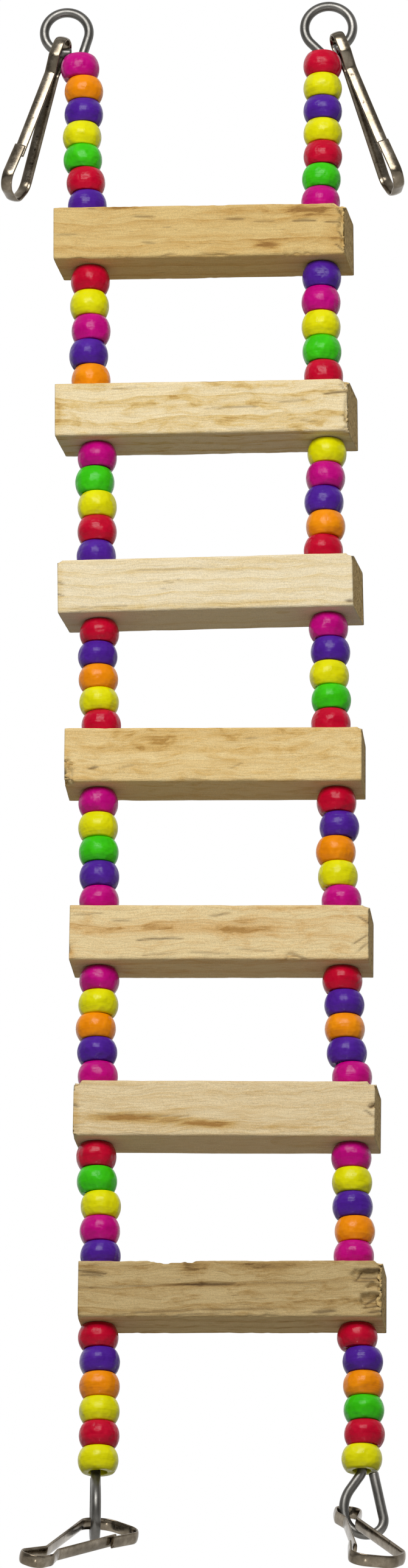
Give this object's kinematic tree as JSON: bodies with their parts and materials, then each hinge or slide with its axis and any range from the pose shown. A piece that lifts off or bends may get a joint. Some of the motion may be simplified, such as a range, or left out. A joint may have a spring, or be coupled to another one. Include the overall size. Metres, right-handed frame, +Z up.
{
  "type": "bird ladder",
  "caption": "Hanging bird ladder: square wooden rungs threaded on bent wire rods, with coloured barrel beads as spacers and a bent-strip snap clip on each end eye.",
  "frame": {"origin": "centre of the back face of the fourth rung, the middle one", "axes": "+Z up along the hanging ladder, +X along the rungs to the right as seen from the front, +Y to the back"},
  "size_m": [0.0936, 0.0435, 0.3854],
  "materials": {
    "pine": "bare sawn pine",
    "wire": "satin galvanised",
    "clip_nickel": "worn nickel plate",
    "magenta_plastic": "glossy",
    "orange_plastic": "glossy",
    "purple_plastic": "glossy",
    "yellow_plastic": "glossy",
    "green_plastic": "glossy",
    "red_plastic": "glossy"
  },
  "bodies": {
    "ladder": {"rung_1": "pine", "rung_2": "pine", "rung_3": "pine", "rung_4": "pine", "rung_5": "pine", "rung_6": "pine", "rung_7": "pine", "left_rod": "wire", "right_rod": "wire", "left_magenta_beads": "magenta_plastic", "left_orange_beads": "orange_plastic", "left_purple_beads": "purple_plastic", "left_yellow_beads": "yellow_plastic", "left_green_beads": "green_plastic", "left_red_beads": "red_plastic", "right_magenta_beads": "magenta_plastic", "right_orange_beads": "orange_plastic", "right_purple_beads": "purple_plastic", "right_yellow_beads": "yellow_plastic", "right_green_beads": "green_plastic", "right_red_beads": "red_plastic"},
    "top_left_clip": {"top_left_clip": "clip_nickel"},
    "top_right_clip": {"top_right_clip": "clip_nickel"},
    "bottom_left_clip": {"bottom_left_clip": "clip_nickel"},
    "bottom_right_clip": {"bottom_right_clip": "clip_nickel"}
  },
  "joints": [
    {"name": "top_left_clip_swing", "type": "hinge", "parent": "ladder", "child": "top_left_clip", "pos_m": [-0.03837, -0.0065, 0.17837], "axis": [0.7268, 0, -0.6868], "range_deg": [-30, 40]},
    {"name": "top_right_clip_swing", "type": "hinge", "parent": "ladder", "child": "top_right_clip", "pos_m": [0.03158, -0.0065, 0.18089], "axis": [-0.306, 0, -0.952], "range_deg": [-5, 18]},
    {"name": "bottom_left_clip_swing", "type": "hinge", "parent": "ladder", "child": "bottom_left_clip", "pos_m": [-0.02572, -0.00404, -0.17994], "axis": [-0.084, 0.9551, 0.284], "range_deg": [-18, 25]},
    {"name": "bottom_right_clip_swing", "type": "hinge", "parent": "ladder", "child": "bottom_right_clip", "pos_m": [0.03118, -0.0065, -0.17924], "axis": [0.8165, 0, -0.5773], "range_deg": [-14, 10]}
  ]
}
